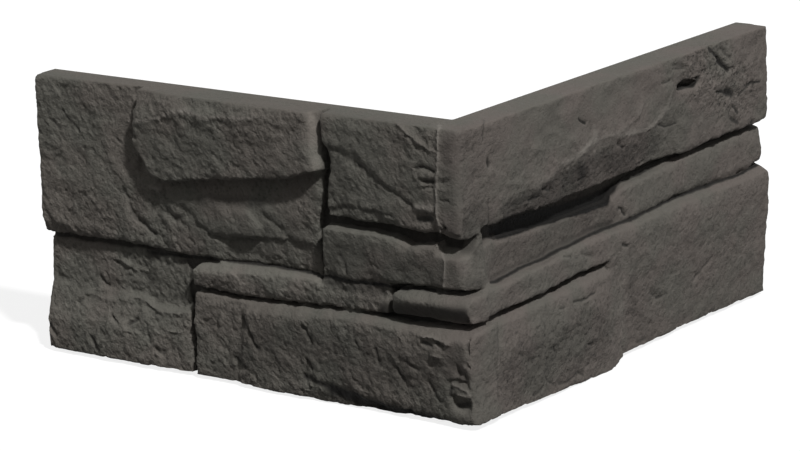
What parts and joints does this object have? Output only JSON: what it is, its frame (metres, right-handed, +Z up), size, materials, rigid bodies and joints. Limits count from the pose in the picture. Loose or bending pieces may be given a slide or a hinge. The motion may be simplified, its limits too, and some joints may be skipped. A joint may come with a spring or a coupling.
{
  "type": "stone cladding corner piece",
  "caption": "Right-angled outside corner panel of cast stone cladding, with courses of split stones standing out from a flat backing.",
  "frame": {"origin": "bottom of the wall-side corner, where the backs of the two legs meet", "axes": "+Z up the wall's corner; the left leg runs along -X and faces -Y, the right leg runs along +Y and faces +X"},
  "size_m": [0.2887, 0.2888, 0.15],
  "materials": {
    "stone": "matt dark grey cast stone with split faces"
  },
  "bodies": {
    "root": {"corner_panel": "stone"}
  },
  "joints": []
}
